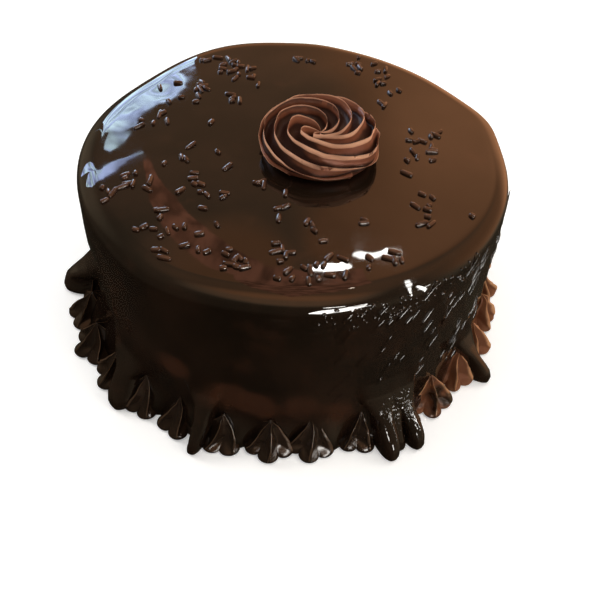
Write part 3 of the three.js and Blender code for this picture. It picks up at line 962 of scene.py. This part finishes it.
FOCUS, PICTURE = 700, 600  # focal length and picture width in pixels
PITCH, YAW, ROLL = 0.8409, 0.0235, 0.0566  # in radians
EYE_FORWARD, EYE_HIGH = 0.29065, 0.30809
EYE = Vector((AXIS[0], AXIS[1] - EYE_FORWARD, EYE_HIGH))
AHEAD = Vector((math.sin(YAW) * math.cos(PITCH), math.cos(YAW) * math.cos(PITCH), -math.sin(PITCH)))
LEVEL = Vector((math.cos(YAW), -math.sin(YAW), 0))
RIGHT = LEVEL * math.cos(ROLL) + LEVEL.cross(AHEAD) * math.sin(ROLL)
UP = RIGHT.cross(AHEAD)


def camera():
    """The eye of the photograph: a little above and in front, looking steeply down."""
    lens = bpy.data.cameras.new("camera")
    lens.sensor_width = 36
    lens.lens = FOCUS / PICTURE * lens.sensor_width
    lens.clip_start = 0.01
    made = bpy.data.objects.new("camera", lens)
    bpy.context.collection.objects.link(made)
    made.matrix_world = Matrix.Translation(EYE) @ Matrix((RIGHT, UP, -AHEAD)).transposed().to_4x4()
    bpy.context.scene.camera = made


def mirrored(x, y, distance, glazed=glaze_height):
    """The place this far away that the glazed top mirrors to the eye at a pixel of the picture."""
    ray = (AHEAD + RIGHT * (x - PICTURE / 2) / FOCUS - UP * (y - PICTURE / 2) / FOCUS).normalized()
    height = TOP
    for _ in range(30):  # closes in on the place where the ray meets the glaze
        place = EYE + ray * (height - EYE.z) / ray.z
        here = place.xy - Vector(AXIS)
        height = 0.5 * height + 0.5 * float(glazed(*here))
    near = 0.3 * MM
    slope_x = float(glazed(here.x + near, here.y) - glazed(here.x - near, here.y)) / (2 * near)
    slope_y = float(glazed(here.x, here.y + near) - glazed(here.x, here.y - near)) / (2 * near)
    return place + ray.reflect(Vector((-slope_x, -slope_y, 1)).normalized()) * distance


def sheet(name, points, faces, colour, strength, clouds=None):
    """A bright sheet that only shiny surfaces see, uneven as a window or a lampshade is."""
    mesh = bpy.data.meshes.new(name)
    mesh.from_pydata(points, [], faces)
    finish, ink, spot = finish_tree(name)
    uneven = spot.noise(38.0, 4.0).step(0.35, 0.65, 0.4, 1.35)
    tint = spot.noise(20.0, 3.0).step(0.42, 0.58).blend((*(clouds or colour), 1), (*colour, 1))
    light = ink.node("ShaderNodeEmission", {}, {"Color": tint, "Strength": uneven * strength})
    ink.node("ShaderNodeOutputMaterial", {}, {"Surface": light})
    finish.cycles.emission_sampling = "NONE"
    mesh.materials.append(finish)
    made = bpy.data.objects.new(name, mesh)
    bpy.context.collection.objects.link(made)
    made.visible_camera = False
    made.visible_diffuse = False
    made.visible_shadow = False


def glow(name, pairs, colour, strength, distance=0.6, rimward=0, clouds=None):
    """A sheet placed so that the top mirrors it to the eye between pairs of pixels."""
    marks = np.array(pairs, dtype=float)
    fine = np.linspace(0, len(marks) - 1, 4 * len(marks) - 3)  # four steps from pair to pair
    marks = np.stack([np.interp(fine, np.arange(len(marks)), column) for column in marks.T], 1)
    outer = top_height if rimward else glaze_height
    rows = [[mirrored(*pair[:2], distance, outer) for pair in marks]]
    rows.append([mirrored(*pair[2:], distance) for pair in marks])
    if rimward:
        rows.insert(0, [mirrored(*pair[:2], rimward) for pair in marks])
    count = len(marks)
    faces = []
    for row in range(len(rows) - 1):
        for i in range(row * count, row * count + count - 1):
            faces.append((i, i + 1, i + 1 + count, i + count))
    sheet(name, [place for row in rows for place in row], faces, colour, strength, clouds)


FLOOR_HEIGHT = -0.2 * MM
FLOOR_RINGS = (0.2, 6.0)
FLOOR_DULL = (0.93, 0.93, 0.925, 1)
FLOOR_CLEAR = (0.95, 0.95, 0.945, 1)


def floor():
    """A wide pale disc under everything, which shiny surfaces don't mirror."""
    count = 96
    turn = np.linspace(0, 2 * math.pi, count, endpoint=False)
    low = np.full(count, FLOOR_HEIGHT)
    rings = [np.stack([r * np.cos(turn), r * np.sin(turn), low], 1) for r in FLOOR_RINGS]
    mesh = bpy.data.meshes.new("floor")
    here = np.arange(count)
    after = (here + 1) % count
    faces = [tuple(here.tolist())] + np.stack([here, count + here, count + after, after], 1).tolist()
    mesh.from_pydata(np.concatenate(rings).tolist(), [], faces)
    made = bpy.data.objects.new("floor", mesh)
    bpy.context.collection.objects.link(made)
    finish, ink, spot = finish_tree("floor")
    shade = spot.noise(3.0, 2.0).blend(FLOOR_DULL, FLOOR_CLEAR)
    out = spot.vector("LENGTH", spot, out="Value")
    seen = ink.node("ShaderNodeLightPath", out="Is Camera Ray")
    far = (out.step(0.3, 1.6, 0.3, 0.75) * seen).blend((0, 0, 0, 1), (1, 1, 1, 1))
    close_finish(
        ink, Base_Color=shade, Roughness=0.7, Specular_IOR_Level=0.2,
        Emission_Color=far, Emission_Strength=1.0,
    )
    mesh.materials.append(finish)
    made.visible_glossy = False


def facing(azimuth, elevation):
    """The direction from the cake towards an azimuth and elevation."""
    turn, rise = math.radians(azimuth), math.radians(elevation)
    return Vector((math.cos(turn) * math.cos(rise), math.sin(turn) * math.cos(rise), math.sin(rise)))


def strip(name, azimuth, elevation, distance, width, height, strength, colour):
    """A small upright sheet that faces the top of the cake, for glints."""
    away = facing(azimuth, elevation)
    across = Vector((-away.y, away.x, 0)).normalized() * width / 2
    up = away.cross(across).normalized() * height / 2
    middle = Vector((*AXIS, TOP)) + away * distance
    points = [middle - across - up, middle + across - up, middle + across + up, middle - across + up]
    sheet(name, points, [(0, 1, 2, 3)], colour, strength)


def panel(name, azimuth, elevation, distance, size, watts, colour):
    """A soft square light that faces the top of the cake, and that nothing mirrors."""
    light = bpy.data.lights.new(name, "AREA")
    light.shape = "SQUARE"
    light.size = size
    light.energy = watts
    light.color = colour
    made = bpy.data.objects.new(name, light)
    bpy.context.collection.objects.link(made)
    away = facing(azimuth, elevation)
    made.location = Vector((*AXIS, TOP)) + away * distance
    made.rotation_euler = away.to_track_quat("Z", "Y").to_euler()
    made.visible_camera = False
    made.visible_glossy = False


COOL = (0.66, 0.88, 1.0)
DUSK = (0.5, 0.62, 1.0)
WARM = (1.0, 0.86, 0.7)
WHITE = (1.0, 0.97, 0.92)
EMBER = (1.0, 0.38, 0.22)
DIM_ROOM = (0.62, 0.5, 0.33, 1)
LIT_ROOM = (1.0, 0.44, 0.2, 1)


def room():
    """The world: pale to the eye, soft light on what is dull, a dim warm room to what is shiny."""
    world = bpy.data.worlds.new("room")
    bpy.context.scene.world = world
    world.use_nodes = True
    world.node_tree.nodes.clear()
    ink = Wire(world.node_tree)
    toward = ink.node("ShaderNodeTexCoord", out="Generated")

    def patch(azimuth, elevation, inner, outer):
        """1 within the inner angle of a direction, and 0 beyond the outer."""
        near = toward.vector("DOT_PRODUCT", toward, facing(azimuth, elevation), out="Value")
        return near.step(math.cos(math.radians(outer)), math.cos(math.radians(inner)))

    height = toward.parts()[2]
    dim = 0.16 + 0.14 * height.step(0.2, 0.9)
    back = patch(84, 22, 14, 34)
    door = patch(98, 38, 8, 20)
    right = patch(70, 38, 4, 17)
    front = patch(100, 50, 3, 9)
    beside = patch(-14, -30, 10, 75)
    warmth = back * (1 - 0.6 * door) * 0.68 + right * 0.55 + front * 0.35
    hall = patch(24, 20, 14, 46)
    ceiling = patch(70, 80, 8, 40)
    beyond = patch(60, -4, 10, 34)
    above = patch(-90, 64, 14, 36)
    leftward = patch(142, 16, 10, 30)
    strength = dim + warmth + beside * 0.4 + hall * 0.7 + ceiling * 0.42 + beyond + above + leftward * 0.45
    tone = (warmth * 2.0 + ceiling * 0.7 + beyond + hall + above * 0.6).blend(DIM_ROOM, LIT_ROOM)
    strength = strength * height.step(-0.6, -0.1, 0.16, 1.0)
    gloss = ink.node("ShaderNodeBackground", {}, {"Color": tone, "Strength": strength})
    pale = ink.node("ShaderNodeBackground", {}, {"Color": (1.0, 1.0, 1.0, 1), "Strength": 1.0})
    soft = ink.node("ShaderNodeBackground", {}, {"Color": (1.0, 0.99, 0.97, 1), "Strength": 0.3})
    seen = ink.node("ShaderNodeLightPath", out="Is Camera Ray")
    both = ink.node("ShaderNodeMixShader", {}, {0: seen.other("Is Glossy Ray"), 1: soft, 2: gloss})
    both = ink.node("ShaderNodeMixShader", {}, {0: seen, 1: both, 2: pale})
    ink.node("ShaderNodeOutputWorld", {}, {"Surface": both})


floor()
room()
# Azimuth, elevation, distance, size, watts and colour.
panel("overhead", 60, 84, 1.5, 1.3, 9, (1.0, 0.98, 0.95))
panel("key", 20, 50, 1.2, 0.4, 3, (1.0, 0.94, 0.86))
panel("from the right", -34, 34, 1.2, 0.5, 3.5, (1.0, 0.93, 0.84))
panel("from the left", 160, 36, 1.2, 0.5, 6, (1.0, 0.98, 0.96))
# Azimuth, elevation, distance, width, height, strength and colour.
strip("front strip", -72, 24, 1.0, 0.16, 0.05, 32, WHITE)
strip("low strip", -58, 5, 0.9, 0.1, 0.03, 32, WHITE)
strip("low strip right", -30, 6, 0.9, 0.1, 0.03, 26, WHITE)
strip("high lamp", 66, 68, 1.0, 0.08, 0.03, 66, WARM)

# Where the top mirrors each: places on the outer and on the inner edge of the reflection, in pixels.
DOORWAY = [
    (143, 160, 149, 158), (147, 180, 158, 177), (150, 200, 172, 194), (162, 226, 190, 215),
    (185, 250, 215, 235), (215, 270, 240, 252), (250, 287, 265, 264), (290, 297, 300, 269),
    (335, 292, 330, 274), (372, 283, 362, 268),
]
WINDOW = [
    (190, 55, 189, 62), (182, 58, 175.6, 66.7), (172, 63, 166.7, 73.3), (158, 69, 156.7, 77.8),
    (148, 75, 155, 84), (136, 82, 147.8, 91), (124, 91, 141, 98), (115, 98, 139, 105),
    (108, 106, 137, 113), (100, 114, 136.5, 125), (94, 122, 122, 132), (89, 131, 95, 132),
]
WINDOW_CORNER = [(107, 131, 132, 131), (105, 142, 124, 142), (103, 149, 110, 152)]
WINDOW_EDGE = [(137, 113, 140, 105), (145, 110, 149, 101.5), (150, 105, 155, 99), (157.8, 98.5, 158, 98)]
WINDOW_BAR = [
    (81, 177, 86, 187), (87, 172.5, 92, 187), (100, 169.5, 101, 179), (112, 162.2, 113, 172),
    (127, 156.7, 127, 161.5), (143, 151.6, 143.5, 152.4),
]
LAMP = [
    (352.8, 254, 353, 256), (361, 251.7, 359, 259), (372, 253.3, 370, 260), (381, 250.5, 380, 257),
    (386, 247.8, 386, 255.2), (392, 249.6, 392, 254.8), (402, 252.6, 402, 253.6),
]
LAMP_LEFT = [
    (306, 268.6, 306, 270), (316, 265.5, 316, 270.5), (326, 263, 326, 271), (337, 263.6, 337, 270),
    (345, 261.5, 345, 270), (352, 265, 352, 267),
]
LAMP_RIGHT = [
    (404.4, 280.5, 409, 279.4), (405.5, 285, 412.5, 284), (408, 289, 411, 288), (411, 296, 412.4, 295.6),
]
LAMP_FAR_RIGHT = [(416.7, 285.4, 416.7, 287), (421, 286, 421, 289.6), (427.8, 288, 426, 291)]
LAMP_ON_RIM = [
    (309, 313, 309.5, 313.6), (323, 310.3, 324, 313.9), (340, 308.7, 341, 311.9), (354, 306, 356.7, 309),
    (367.8, 303.2, 367.5, 305),
]
glow("doorway", DOORWAY, EMBER, 1.05)
glow("window", WINDOW, COOL, 9, rimward=0.05, clouds=DUSK)
glow("window corner", WINDOW_CORNER, COOL, 6, clouds=DUSK)
glow("window edge", WINDOW_EDGE, COOL, 8, clouds=DUSK)
glow("window bar", WINDOW_BAR, COOL, 7.5, rimward=0.05, clouds=DUSK)
glow("lamp", LAMP, WHITE, 60, distance=0.25)
glow("lamp left", LAMP_LEFT, WHITE, 52, distance=0.25)
glow("lamp right", LAMP_RIGHT, WHITE, 34, distance=0.15)
glow("lamp far right", LAMP_FAR_RIGHT, WHITE, 34, distance=0.15)
glow("lamp on the rim", LAMP_ON_RIM, WHITE, 34, distance=0.15)
camera()
bpy.context.scene.view_settings.view_transform = "Standard"
